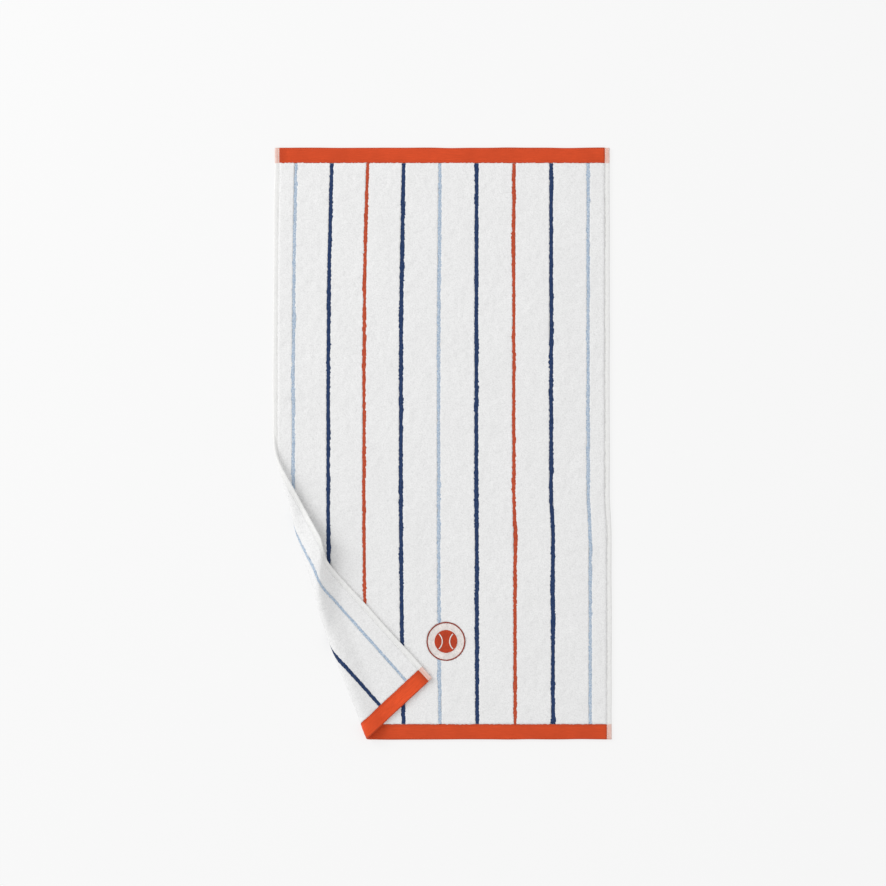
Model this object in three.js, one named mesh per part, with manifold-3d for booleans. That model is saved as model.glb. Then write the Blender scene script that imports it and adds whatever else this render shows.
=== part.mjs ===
// Striped terry sports towel, lying flat with its near left corner turned over.
// Millimetres, +Z up. +X runs across the towel, +Y along it towards the far hem.
//
// Every piece is drawn on the flat, unfolded towel, in three numbers: u across it, v along it and
// w up from its underside. bend() then lays that towel down with its corner turned over, so all
// the pieces fold together and keep the gaps between them.

import * as THREE from "three";
import { mergeVertices } from "three/addons/utils/BufferGeometryUtils.js";
import Module from "manifold-3d";

const wasm = await Module();
wasm.setup();

// ---------------------------------------------------------------- driving dimensions

const TOWEL_WIDTH = 500;
const TOWEL_LENGTH = 883;
const PILE_THICKNESS = 4.6;
const GAP = 0.3; // kept between pieces that touch
const STRIPE_GAP = 0.9; // either side of a stripe, because its slot bends with the fold

const END_HEM_WIDTH = 23;
const SIDE_HEM_WIDTH = 7.5;
const HEM_THICKNESS = 3.7;
const HEM_LEAF = 0.85; // each of the two leaves of a folded hem
const HEM_FOLD = 1.2; // cloth at the hem's outer fold
const GROUND_WEAVE = 0.5; // bare ground weave that runs on inside the hems

const STRIPE_PITCH = 54.5;
const LIGHT_BLUE_WIDTH = 5.2;
const NAVY_WIDTH = 6.5;
const ORANGE_WIDTH = 5.5;

const THREAD_WIDTH = 0.8;
const THREAD_HEIGHT = 0.4;
const END_STITCH_INSET = 3; // from a hem's inner edge to its row of stitches
const SIDE_STITCH_INSET = 1.5;

const EMBLEM_X = 5.7;
const EMBLEM_Y = -295;
const EMBLEM_RADIUS = 29;
const EMBLEM_RING_WIDTH = 1.8;
const EMBLEM_DISC_RADIUS = 17;
const EMBLEM_GROUND_HEIGHT = 1.1;
const EMBLEM_THREAD_HEIGHT = 0.4;
const EMBLEM_POCKET_FLOOR = 3.0; // the embroidery presses the pile down to this height
const SEAM_RADIUS = 15; // curved seams of the ball motif
const SEAM_WIDTH = 1.7;
const SEAM_HALF_ANGLE = 0.82;
const SEAM_CENTRE = 20.5;

// Where the cloth has drifted sideways as it lies, in millimetres of u.
const CENTRE_DRIFT = -3;
const LEFT_BOW = -6;
const LEFT_BOW_CENTRE = -130;
const LEFT_BOW_SPREAD = 130;
const BOW_REACH = 420;
const RIGHT_KICK = 3;

// The turned corner. The fold is a roll along two straight lines that meet at a bend. The line
// from FOLD_START to FOLD_END is the chord that both are measured from.
const FOLD_START = new THREE.Vector2(-251.7, -9.3);
const FOLD_END = new THREE.Vector2(-111.1, -442.2);
const BEND_ALONG = 245; // along the chord, from its start
const BEND_OUT = 15; // outside the chord
const FAR_LINE_TURN = THREE.MathUtils.degToRad(3.3);
const NEAR_LINE_TURN = THREE.MathUtils.degToRad(3.4);
const FAR_ROLL_RADIUS = 6.5;
const NEAR_ROLL_RADIUS = 6.8;
const RIDGE_ROLL_RADIUS = 14;
const RIDGE_SHIFT = 4.7; // of the crest along the roll, from the bend in the chord
const RIDGE_SLANT = 2.4; // how fast the crest runs along the roll as it nears the flap's edge
const RIDGE_SOFTNESS = 16; // how gently its slant starts
const RIDGE_HEIGHT = 17; // above the flap on either side
const RISE = 110; // stretch over which the cloth rises to the crest, at the roll
const RISE_SPREAD = 1.6; // how fast that stretch widens towards the flap's edge
const FALL = 62; // the same past the crest
const FALL_SPREAD = 0.9;
const KINK_FROM = -0.37; // where one fold line gives way to the other, as shares of the fall
const KINK_TO = 0.74;
const FAR_REST = 14; // mid-thickness of the flap between its far tip and the crest
const NEAR_REST = 7.4; // the same past the crest, where it lies on the towel
const FLAP_DESCENT = 30; // length over which the flap comes down from the roll

// Facets
const COARSE_ROW = 64;
const FINE_ROW = 15;
const ROLL_STEP = 3.2;
const FLAP_STEP = 12;
const ROLL_FROM = -26;
const ROLL_TO = 46;
const FINE_REACH = 80; // fine rows run from the near hem to here
const ON_LINE = 1e-5; // points this close to a line are on it
const ROW_CLEARANCE = 2; // facet rows keep this far from the rows that a piece needs

const COLOURS = {
  terry: { color: 0xf0f0ee, roughness: 0.95 },
  light_blue: { color: 0xa9c3dc, roughness: 0.95 },
  navy: { color: 0x1f3f78, roughness: 0.95 },
  orange: { color: 0xcf4a26, roughness: 0.95 },
  hem_orange: { color: 0xd84a24, roughness: 0.8 },
  selvedge: { color: 0xf0e2de, roughness: 0.85 },
  thread_orange: { color: 0xc23f1e, roughness: 0.6 },
  thread_white: { color: 0xeeeeea, roughness: 0.6 },
  emblem_pale: { color: 0xf3e3dc, roughness: 0.6 },
  emblem_red: { color: 0xb93a1c, roughness: 0.55 },
};

// ---------------------------------------------------------------- the laid, folded surface

const NEUTRAL = PILE_THICKNESS / 2; // height that neither stretches nor shrinks as the cloth bends
const HALF_WIDTH = TOWEL_WIDTH / 2;
const HALF_LENGTH = TOWEL_LENGTH / 2;
const CHORD = FOLD_END.clone().sub(FOLD_START).normalize();
const OUTWARD = new THREE.Vector2(CHORD.y, -CHORD.x);
const { smoothstep, clamp, lerp } = THREE.MathUtils;

// Distance across the chord: positive on the side that is turned over.
function outside(x, y) {
  return (x - FOLD_START.x) * OUTWARD.x + (y - FOLD_START.y) * OUTWARD.y;
}

// Sideways drift of the cloth at (u, v).
function drift(u, v) {
  const centre = CENTRE_DRIFT * Math.cos((Math.PI * u) / TOWEL_WIDTH) ** 2;
  const bell = Math.exp(-(((u - LEFT_BOW_CENTRE) / LEFT_BOW_SPREAD) ** 2));
  const along = 1 - Math.min(1, Math.abs(v) / BOW_REACH) ** 2.5;
  const kick = RIGHT_KICK * smoothstep(u, 0, 200) * smoothstep(-v, 70, 140);
  return centre + LEFT_BOW * bell * along + kick;
}

// A roll of radius r about a line at b = 0: returns where a point at distance b goes.
function roll(b, r, restHeight) {
  const arc = b + (Math.PI * r) / 2;
  if (arc <= 0) return { out: b, height: NEUTRAL };
  const angle = Math.min(arc / r, Math.PI);
  const past = Math.max(0, arc - Math.PI * r);
  const top = NEUTRAL + r * (1 - Math.cos(angle));
  const drop = (NEUTRAL + 2 * r - restHeight) * smoothstep(past, 0, FLAP_DESCENT);
  return { out: (-Math.PI * r) / 2 + r * Math.sin(angle) - past, height: top - drop };
}

// The middle of the cloth's thickness at (u, v).
function middle(u, v) {
  const x = u + drift(u, v);
  const along = (x - FOLD_START.x) * CHORD.x + (v - FOLD_START.y) * CHORD.y - BEND_ALONG;
  const across = outside(x, v) - BEND_OUT;
  const beyond = (across + Math.hypot(across, RIDGE_SOFTNESS)) / 2;
  const crest = along + beyond * RIDGE_SLANT - RIDGE_SHIFT;
  const rise = RISE + RISE_SPREAD * beyond;
  const fall = FALL + FALL_SPREAD * beyond;
  const lift = clamp(1 - (crest < 0 ? -crest / rise : crest / fall), 0, 1);
  const ridge = Math.sin((Math.PI / 2) * lift) ** 2;
  const near = smoothstep(crest / fall, KINK_FROM, KINK_TO);
  const r = lerp(lerp(FAR_ROLL_RADIUS, NEAR_ROLL_RADIUS, near), RIDGE_ROLL_RADIUS, ridge);
  const restHeight = lerp(FAR_REST, NEAR_REST, near) + RIDGE_HEIGHT * ridge;
  const [far, close] = [FAR_LINE_TURN, -NEAR_LINE_TURN].map((turn) => {
    const cos = Math.cos(turn);
    const sin = Math.sin(turn);
    const a = along * cos + across * sin;
    const { out, height } = roll(across * cos - along * sin, r, restHeight);
    return new THREE.Vector3(a * cos - out * sin, a * sin + out * cos, height);
  });
  const place = far.lerp(close, near);
  const s = BEND_ALONG + place.x;
  const q = BEND_OUT + place.y;
  return new THREE.Vector3(
    FOLD_START.x + s * CHORD.x + q * OUTWARD.x,
    FOLD_START.y + s * CHORD.y + q * OUTWARD.y,
    place.z,
  );
}

// Where the point (u, v, w) of the flat towel lies.
function bend(u, v, w) {
  const step = 0.5;
  const across = middle(u + step, v).sub(middle(u - step, v));
  const along = middle(u, v + step).sub(middle(u, v - step));
  const up = across.cross(along).normalize();
  return middle(u, v).addScaledVector(up, w - NEUTRAL);
}

// ---------------------------------------------------------------- flat cells

// The part of a convex polygon where side(point) is positive.
function clip(polygon, side) {
  const kept = [];
  polygon.forEach((p, i) => {
    const q = polygon[(i + 1) % polygon.length];
    const [sp, sq] = [side(p), side(q)];
    if (sp >= 0) kept.push(p);
    if (sp * sq < 0) {
      const t = sp / (sp - sq);
      kept.push([lerp(p[0], q[0], t), lerp(p[1], q[1], t)]);
    }
  });
  return kept;
}

function area(polygon) {
  return polygon.reduce((sum, [x, y], i) => {
    const [nx, ny] = polygon[(i + 1) % polygon.length];
    return sum + (x * ny - nx * y) / 2;
  }, 0);
}

// Whether a polygon is more than a sliver that its neighbours close over.
function hasBreadth(polygon) {
  if (polygon.length < 3) return false;
  const longest = Math.max(
    ...polygon.map(([x, y], i) => {
      const [nx, ny] = polygon[(i + 1) % polygon.length];
      return Math.hypot(nx - x, ny - y);
    }),
  );
  return area(polygon) > ON_LINE * longest;
}

// Cuts every polygon along the lines where measure(point) equals one of the values.
function slice(polygons, values, measure) {
  return values.reduce(
    (pieces, value) =>
      pieces.flatMap((polygon) =>
        [
          clip(polygon, (p) => value - measure(p)),
          clip(polygon, (p) => measure(p) - value),
        ].filter(hasBreadth),
      ),
    polygons,
  );
}

function steps(from, to, size) {
  const count = Math.max(1, Math.round((to - from) / size));
  return Array.from({ length: count + 1 }, (_, i) => lerp(from, to, i / count));
}

const COARSE_ROWS = steps(-HALF_LENGTH, HALF_LENGTH, COARSE_ROW);
const FINE_ROWS = steps(-HALF_LENGTH, FINE_REACH, FINE_ROW);
const ROLL_LINES = [
  ...steps(ROLL_FROM, ROLL_TO, ROLL_STEP).slice(1),
  ...steps(ROLL_TO, ROLL_TO + 5 * FLAP_STEP, FLAP_STEP).slice(1),
];

// Convex cells between the given columns and rows, finer where the cloth bends.
function flatCells(columns, rows) {
  const [u0, u1] = [columns[0], columns.at(-1)];
  const [v0, v1] = [rows[0], rows.at(-1)];
  const outline = [[[u0, v0], [u1, v0], [u1, v1], [u0, v1]]];
  const atU = ([u]) => u;
  const atV = ([, v]) => v;
  const atFold = ([u, v]) => outside(u, v);
  const clearOf = (taken) => (v) => taken.every((row) => Math.abs(row - v) > ROW_CLEARANCE);
  const longRows = [...rows, ...COARSE_ROWS.filter(clearOf(rows))];
  const fineRows = FINE_ROWS.filter(clearOf(longRows));
  const coarse = slice(slice(outline, columns, atU), longRows, atV);
  const flat = coarse.map((cell) => clip(cell, (p) => ROLL_FROM - atFold(p)));
  const rolled = coarse.map((cell) => clip(cell, (p) => atFold(p) - ROLL_FROM));
  const fine = slice(slice(rolled.filter(hasBreadth), fineRows, atV), ROLL_LINES, atFold);
  return [...flat.filter(hasBreadth), ...fine];
}

// ---------------------------------------------------------------- bent solids

// A closed solid over flat cells. levels are heights w; filled(u, v, layer) says whether the
// layer between two levels is cloth at (u, v).
function bentGeometry({ columns, rows, levels, filled }) {
  const points = [];
  const pointIndex = new Map();
  const pointAt = ([u, v]) => {
    const key = `${Math.round(u / ON_LINE)},${Math.round(v / ON_LINE)}`;
    if (!pointIndex.has(key)) pointIndex.set(key, points.push([u, v]) - 1);
    return pointIndex.get(key);
  };
  const layers = levels.length - 1;
  const cells = flatCells(columns, rows)
    .map((polygon) => {
      const u = polygon.reduce((sum, p) => sum + p[0], 0) / polygon.length;
      const v = polygon.reduce((sum, p) => sum + p[1], 0) / polygon.length;
      const solid = Array.from({ length: layers }, (_, k) => filled(u, v, k));
      const ring = polygon.map(pointAt).filter((a, i, all) => a !== all[(i + 1) % all.length]);
      return { centre: [u, v], solid, ring };
    })
    .filter((cell) => cell.solid.some(Boolean));
  const used = [...new Set(cells.flatMap((cell) => cell.ring))];
  cells.forEach((cell) => {
    cell.corners = cell.ring.length;
    cell.ring = withPointsOnEdges(cell.ring, used, points);
  });

  const neighbours = new Map();
  cells.forEach((cell) =>
    edges(cell.ring).forEach(([a, b]) => neighbours.set(`${a},${b}`, cell)),
  );
  const corners = [];
  const cornerIndex = new Map();
  const corner = (point, level) => {
    const key = `${point},${level}`;
    if (!cornerIndex.has(key)) {
      const [u, v] = points[point];
      cornerIndex.set(key, corners.push(bend(u, v, levels[level])) - 1);
    }
    return cornerIndex.get(key);
  };
  const triangles = [];
  cells.forEach((cell) => {
    for (let k = 0; k < layers; k++) {
      if (!cell.solid[k]) continue;
      if (!cell.solid[k + 1]) triangles.push(...fan(cell, k + 1, points, corner, false));
      if (!cell.solid[k - 1]) triangles.push(...fan(cell, k, points, corner, true));
      edges(cell.ring).forEach(([a, b]) => {
        if (neighbours.get(`${b},${a}`)?.solid[k]) return;
        const [a0, b0, b1, a1] = [corner(a, k), corner(b, k), corner(b, k + 1), corner(a, k + 1)];
        triangles.push([a0, b0, b1], [a0, b1, a1]);
      });
    }
  });
  const geometry = new THREE.BufferGeometry();
  const position = new Float32Array(corners.flatMap((p) => [p.x, p.y, p.z]));
  geometry.setAttribute("position", new THREE.BufferAttribute(position, 3));
  geometry.setIndex(triangles.flat());
  geometry.computeVertexNormals();
  return geometry;
}

function edges(ring) {
  return ring.map((a, i) => [a, ring[(i + 1) % ring.length]]);
}

// Adds to a ring the points of other cells that lie on its sides.
function withPointsOnEdges(ring, candidates, points) {
  return edges(ring).flatMap(([a, b]) => {
    const [ax, ay] = points[a];
    const [dx, dy] = [points[b][0] - ax, points[b][1] - ay];
    const length = Math.hypot(dx, dy);
    const onSide = candidates
      .filter((c) => c !== a && c !== b)
      .map((c) => {
        const [cx, cy] = [points[c][0] - ax, points[c][1] - ay];
        return { c, t: (cx * dx + cy * dy) / length, off: Math.abs(cx * dy - cy * dx) / length };
      })
      .filter(({ t, off }) => off < ON_LINE && t > ON_LINE && t < length - ON_LINE)
      .sort((p, q) => p.t - q.t);
    return [a, ...onSide.map(({ c }) => c)];
  });
}

// Triangles over one cell at a level, round its centre where its sides carry extra points.
function fan(cell, level, points, corner, downward) {
  const ring = cell.ring.map((point) => corner(point, level));
  const turn = ([a, b, c]) => (downward ? [a, c, b] : [a, b, c]);
  if (ring.length === cell.corners)
    return ring.slice(2).map((c, i) => turn([ring[0], ring[i + 1], c]));
  const hub = corner(points.push(cell.centre) - 1, level);
  return edges(ring).map(([a, b]) => turn([hub, a, b]));
}

function materialOf(name) {
  return new THREE.MeshStandardMaterial({ ...COLOURS[name], metalness: 0 });
}

function piece(name, geometry, colour) {
  const mesh = new THREE.Mesh(geometry, materialOf(colour));
  mesh.name = name;
  return mesh;
}

// ---------------------------------------------------------------- solids for cutting

function solidOf(geometry) {
  const plain = geometry.clone().deleteAttribute("normal").deleteAttribute("uv");
  const merged = mergeVertices(plain, 1e-3);
  const mesh = new wasm.Mesh({
    numProp: 3,
    vertProperties: merged.attributes.position.array,
    triVerts: new Uint32Array(merged.index.array),
  });
  return new wasm.Manifold(mesh);
}

function geometryOf(solid) {
  const { vertProperties, triVerts } = solid.getMesh();
  const geometry = new THREE.BufferGeometry();
  geometry.setAttribute("position", new THREE.BufferAttribute(vertProperties, 3));
  geometry.setIndex(new THREE.BufferAttribute(triVerts, 1));
  geometry.computeVertexNormals();
  return geometry;
}

// ---------------------------------------------------------------- stripes

const STRIPES = [
  ["light_blue", LIGHT_BLUE_WIDTH],
  ["navy", NAVY_WIDTH],
  ["orange", ORANGE_WIDTH],
  ["navy", NAVY_WIDTH],
  ["light_blue", LIGHT_BLUE_WIDTH],
  ["navy", NAVY_WIDTH],
  ["orange", ORANGE_WIDTH],
  ["navy", NAVY_WIDTH],
  ["light_blue", LIGHT_BLUE_WIDTH],
].map(([colour, width], i) => ({
  colour,
  name: `stripe_${i + 1}_${colour}`,
  centre: (i - 4) * STRIPE_PITCH,
  half: width / 2,
}));

const PILE_HALF_WIDTH = HALF_WIDTH - SIDE_HEM_WIDTH - GAP;
const PILE_HALF_LENGTH = HALF_LENGTH - END_HEM_WIDTH - GAP;
const STRIPE_HALF_LENGTH = PILE_HALF_LENGTH - GAP;

function stripeGeometry({ centre, half }) {
  return bentGeometry({
    columns: [centre - half, centre + half],
    rows: [-STRIPE_HALF_LENGTH, STRIPE_HALF_LENGTH],
    levels: [0, PILE_THICKNESS],
    filled: () => true,
  });
}

// ---------------------------------------------------------------- terry cloth

const TONGUE_BOTTOM = (HEM_THICKNESS - GROUND_WEAVE) / 2;
const TONGUE_HALF_WIDTH = HALF_WIDTH - HEM_FOLD - GAP;
const TONGUE_HALF_LENGTH = HALF_LENGTH - HEM_FOLD - GAP;

// One sheet: pile between the hems, with a slot for each stripe, and bare ground weave inside them.
function terryGeometry() {
  const slots = STRIPES.map(({ centre, half }) => ({ centre, reach: half + STRIPE_GAP }));
  const inSlot = (u) => slots.some(({ centre, reach }) => Math.abs(u - centre) < reach);
  return bentGeometry({
    columns: [
      -TONGUE_HALF_WIDTH,
      -PILE_HALF_WIDTH,
      ...slots.flatMap(({ centre, reach }) => [centre - reach, centre + reach]),
      PILE_HALF_WIDTH,
      TONGUE_HALF_WIDTH,
    ],
    rows: [-TONGUE_HALF_LENGTH, -PILE_HALF_LENGTH, PILE_HALF_LENGTH, TONGUE_HALF_LENGTH],
    levels: [0, TONGUE_BOTTOM, TONGUE_BOTTOM + GROUND_WEAVE, PILE_THICKNESS],
    filled: (u, v, layer) => {
      const inPile = Math.abs(u) < PILE_HALF_WIDTH && Math.abs(v) < PILE_HALF_LENGTH;
      return inPile ? !inSlot(u) : layer === 1;
    },
  });
}

// ---------------------------------------------------------------- hems

const HEM_LEVELS = [0, HEM_LEAF, HEM_THICKNESS - HEM_LEAF, HEM_THICKNESS];

// A folded band across one end: two leaves with the ground weave between them.
function endHemGeometry(side) {
  const inner = HALF_LENGTH - END_HEM_WIDTH;
  const fold = HALF_LENGTH - HEM_FOLD;
  const rows = [inner, fold, HALF_LENGTH].map((v) => v * side).sort((a, b) => a - b);
  return bentGeometry({
    columns: [-PILE_HALF_WIDTH, 0, PILE_HALF_WIDTH],
    rows,
    levels: HEM_LEVELS,
    filled: (u, v, layer) => Math.abs(v) > fold || layer !== 1,
  });
}

// The same along one side. It runs the whole length, past the ends of the bands.
function sideHemGeometry(side) {
  const inner = HALF_WIDTH - SIDE_HEM_WIDTH;
  const fold = HALF_WIDTH - HEM_FOLD;
  const columns = [inner, fold, HALF_WIDTH].map((u) => u * side).sort((a, b) => a - b);
  return bentGeometry({
    columns,
    rows: [-HALF_LENGTH, HALF_LENGTH],
    levels: HEM_LEVELS,
    filled: (u, v, layer) => Math.abs(u) > fold || layer !== 1,
  });
}

function threadGeometry(columns, rows) {
  const bottom = HEM_THICKNESS + GAP;
  const levels = [bottom, bottom + THREAD_HEIGHT];
  return bentGeometry({ columns, rows, levels, filled: () => true });
}

function endThreadGeometry(side) {
  const v = side * (HALF_LENGTH - END_HEM_WIDTH + END_STITCH_INSET);
  const reach = PILE_HALF_WIDTH - GAP;
  return threadGeometry([-reach, 0, reach], [v - THREAD_WIDTH / 2, v + THREAD_WIDTH / 2]);
}

function sideThreadGeometry(side) {
  const u = side * (HALF_WIDTH - SIDE_HEM_WIDTH + SIDE_STITCH_INSET);
  const reach = HALF_LENGTH - GAP;
  return threadGeometry([u - THREAD_WIDTH / 2, u + THREAD_WIDTH / 2], [-reach, reach]);
}

// ---------------------------------------------------------------- emblem

const EMBLEM_GROUND_BOTTOM = EMBLEM_POCKET_FLOOR + GAP;
const EMBLEM_THREAD_BOTTOM = EMBLEM_GROUND_BOTTOM + EMBLEM_GROUND_HEIGHT + GAP;
const EMBLEM_SEAM_BOTTOM = EMBLEM_THREAD_BOTTOM + EMBLEM_THREAD_HEIGHT + GAP;

// A round solid about the emblem's centre, from a section of [radius, height] points.
function turned(section, sides) {
  const profile = section.map(([radius, height]) => new THREE.Vector2(radius, height));
  return new THREE.LatheGeometry([...profile, profile[0]], sides)
    .rotateX(Math.PI / 2)
    .translate(EMBLEM_X, EMBLEM_Y, 0);
}

function discGeometry(radius, bottom, height, sides = 64) {
  const top = bottom + height;
  return turned([[0, bottom], [radius, bottom], [radius, top], [0, top]], sides);
}

function ringGeometry(inner, outer, bottom, height) {
  const top = bottom + height;
  return turned([[inner, bottom], [outer, bottom], [outer, top], [inner, top]], 64);
}

// One curved seam of the ball motif, on the left (-1) or the right (+1) of the disc.
function seamGeometry(side) {
  const middleAngle = side > 0 ? Math.PI : 0;
  const [from, to] = [middleAngle - SEAM_HALF_ANGLE, middleAngle + SEAM_HALF_ANGLE];
  const shape = new THREE.Shape();
  shape.absarc(0, 0, SEAM_RADIUS + SEAM_WIDTH / 2, from, to, false);
  shape.absarc(0, 0, SEAM_RADIUS - SEAM_WIDTH / 2, to, from, true);
  shape.closePath();
  const options = { depth: EMBLEM_THREAD_HEIGHT, bevelEnabled: false, curveSegments: 14 };
  return new THREE.ExtrudeGeometry(shape, options)
    .translate(EMBLEM_X + side * SEAM_CENTRE, EMBLEM_Y, EMBLEM_SEAM_BOTTOM);
}

// The cloth with a round hollow under the emblem.
function withPocket(geometry) {
  const pocket = discGeometry(EMBLEM_RADIUS + GAP, EMBLEM_POCKET_FLOOR, PILE_THICKNESS);
  return geometryOf(solidOf(geometry).subtract(solidOf(pocket)));
}

// ---------------------------------------------------------------- assembly

const towel = new THREE.Group();

towel.add(piece("terry_cloth", withPocket(terryGeometry()), "terry"));
for (const stripe of STRIPES) {
  const plain = stripeGeometry(stripe);
  const underEmblem = Math.abs(stripe.centre - EMBLEM_X) < EMBLEM_RADIUS;
  towel.add(piece(stripe.name, underEmblem ? withPocket(plain) : plain, stripe.colour));
}

for (const [name, side] of [["top", 1], ["bottom", -1]]) {
  towel.add(piece(`${name}_hem`, endHemGeometry(side), "hem_orange"));
  towel.add(piece(`${name}_hem_stitching`, endThreadGeometry(side), "thread_orange"));
}
for (const [name, side] of [["left", -1], ["right", 1]]) {
  towel.add(piece(`${name}_side_hem`, sideHemGeometry(side), "selvedge"));
  towel.add(piece(`${name}_side_hem_stitching`, sideThreadGeometry(side), "thread_white"));
}

const emblemGround = discGeometry(EMBLEM_RADIUS, EMBLEM_GROUND_BOTTOM, EMBLEM_GROUND_HEIGHT);
const emblemRing = ringGeometry(
  EMBLEM_RADIUS - EMBLEM_RING_WIDTH,
  EMBLEM_RADIUS,
  EMBLEM_THREAD_BOTTOM,
  EMBLEM_THREAD_HEIGHT,
);
const emblemDisc = discGeometry(EMBLEM_DISC_RADIUS, EMBLEM_THREAD_BOTTOM, EMBLEM_THREAD_HEIGHT);
towel.add(piece("emblem_ground", emblemGround, "emblem_pale"));
towel.add(piece("emblem_ring", emblemRing, "emblem_red"));
towel.add(piece("emblem_disc", emblemDisc, "emblem_red"));
towel.add(piece("emblem_seam_left", seamGeometry(-1), "emblem_pale"));
towel.add(piece("emblem_seam_right", seamGeometry(1), "emblem_pale"));

// The origin is the middle of the underside of the towel's box.
const box = new THREE.Box3().setFromObject(towel);
const centre = box.getCenter(new THREE.Vector3());
towel.position.set(-centre.x, -centre.y, -box.min.z);

const part = new THREE.Group();
part.add(towel);

export default part;
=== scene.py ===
"""Striped terry sports towel, lying flat with its near left corner turned over.

Metres, in the frame of the CAD part: +X across the towel, +Y along it, +Z up. Every piece is drawn
on the flat towel in millimetres (u across, v along, w up from the underside) and then laid down
with its corner turned over, as the CAD part is.
"""

import math

import bpy
import numpy as np
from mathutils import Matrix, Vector


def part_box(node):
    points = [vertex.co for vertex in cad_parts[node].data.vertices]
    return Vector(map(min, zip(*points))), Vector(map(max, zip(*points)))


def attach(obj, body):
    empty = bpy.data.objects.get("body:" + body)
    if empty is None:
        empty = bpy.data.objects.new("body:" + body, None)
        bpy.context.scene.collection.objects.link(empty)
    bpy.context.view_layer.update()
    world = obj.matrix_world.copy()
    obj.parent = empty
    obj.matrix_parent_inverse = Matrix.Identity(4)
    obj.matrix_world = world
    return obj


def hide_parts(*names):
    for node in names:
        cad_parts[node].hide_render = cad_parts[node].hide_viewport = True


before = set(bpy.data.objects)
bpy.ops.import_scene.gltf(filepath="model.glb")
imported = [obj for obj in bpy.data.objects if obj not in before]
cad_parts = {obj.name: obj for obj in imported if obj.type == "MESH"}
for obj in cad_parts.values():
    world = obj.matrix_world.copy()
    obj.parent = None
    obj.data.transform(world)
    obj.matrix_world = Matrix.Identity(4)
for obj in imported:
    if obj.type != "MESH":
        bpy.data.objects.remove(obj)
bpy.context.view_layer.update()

# ---------------------------------------------------------------- sizes of the towel, in millimetres

MM = 0.001
TOWEL_WIDTH = 500.0
TOWEL_LENGTH = 883.0
HALF_WIDTH = TOWEL_WIDTH / 2
HALF_LENGTH = TOWEL_LENGTH / 2
PILE_THICKNESS = 4.6
NEUTRAL = PILE_THICKNESS / 2
HEM_THICKNESS = 3.7
PILE_HALF_WIDTH = 242.2
PILE_HALF_LENGTH = 418.2
HEM_INNER_WIDTH = 242.5
HEM_INNER_LENGTH = 418.5
SIDE_HEM_WIDTH = HALF_WIDTH - HEM_INNER_WIDTH
END_HEM_WIDTH = HALF_LENGTH - HEM_INNER_LENGTH
STRIPE_PITCH = 54.5
STRIPES = [  # each a node, a colour, a place across the towel and half a width
    (f"stripe_{i + 1}_{colour}", colour, (i - 4) * STRIPE_PITCH, width / 2)
    for i, (colour, width) in enumerate(
        [("light_blue", 5.2), ("navy", 6.5), ("orange", 5.5), ("navy", 6.5)] * 2
        + [("light_blue", 5.2)]
    )
]
EMBLEM_X = 5.7
EMBLEM_Y = -295.0
EMBLEM_RADIUS = 29.0

# How far the cloth drifts sideways from straight, as in the CAD part.
CENTRE_DRIFT = -3.0
LEFT_BOW = -6.0
LEFT_BOW_CENTRE = -130.0
LEFT_BOW_SPREAD = 130.0
BOW_REACH = 420.0
RIGHT_KICK = 3.0

# The turned corner, as in the CAD part. It rolls over along two lines that meet at a bend, and
# FOLD_START to FOLD_END is the chord that both are measured from. A crest runs across it.
FOLD_START = np.array([-251.7, -9.3])
FOLD_END = np.array([-111.1, -442.2])
CHORD = (FOLD_END - FOLD_START) / np.linalg.norm(FOLD_END - FOLD_START)
OUTWARD = np.array([CHORD[1], -CHORD[0]])
BEND_ALONG = 245.0  # along the chord, from its start
BEND_OUT = 15.0  # outside the chord
FAR_LINE_TURN = math.radians(3.3)
NEAR_LINE_TURN = math.radians(3.4)
FAR_ROLL_RADIUS = 6.5
NEAR_ROLL_RADIUS = 6.8
RIDGE_ROLL_RADIUS = 14.0
RIDGE_SHIFT = 4.7  # of the crest along the roll, from the bend in the chord
RIDGE_SLANT = 2.4  # how fast the crest runs along the roll as it nears the flap's edge
RIDGE_SOFTNESS = 16.0  # how gently its slant starts
RIDGE_HEIGHT = 17.0  # above the flap on either side
RISE = 110.0  # stretch over which the cloth rises to the crest, at the roll
RISE_SPREAD = 1.6  # how fast that stretch widens towards the flap's edge
FALL = 62.0  # the same past the crest
FALL_SPREAD = 0.9
KINK_FROM = -0.37  # where one fold line gives way to the other, as shares of the fall
KINK_TO = 0.74
FAR_REST = 14.0  # mid-thickness of the flap between its far tip and the crest
NEAR_REST = 7.4  # the same past the crest, where it lies on the towel
FLAP_DESCENT = 30.0  # length over which the flap comes down from the roll

# ---------------------------------------------------------------- looks

PILE_STEP = 2.1  # between the loops that the pile's mesh draws
STRIPE_STEP = 1.7  # the same along a stripe
HEM_STEP = 3.0
LOOP_HEIGHT = 0.2  # how far loops stand up or down
STITCH_PITCH = 3.1
STITCH_LENGTH = 2.6
STITCH_RADIUS = 0.34

rng = np.random.default_rng(11)


# ---------------------------------------------------------------- laying the cloth down

def smoothstep(x, low, high):
    t = np.clip((x - low) / (high - low), 0, 1)
    return t * t * (3 - 2 * t)


def lerp(a, b, t):
    return a + (b - a) * t


def drift(u, v):
    """How far the cloth at (u, v) lies to the right of straight."""
    centre = CENTRE_DRIFT * np.cos(math.pi * u / TOWEL_WIDTH) ** 2
    bell = np.exp(-(((u - LEFT_BOW_CENTRE) / LEFT_BOW_SPREAD) ** 2))
    along = 1 - np.minimum(1, np.abs(v) / BOW_REACH) ** 2.5
    kick = RIGHT_KICK * smoothstep(u, 0, 200) * smoothstep(-v, 70, 140)
    return centre + LEFT_BOW * bell * along + kick


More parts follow.
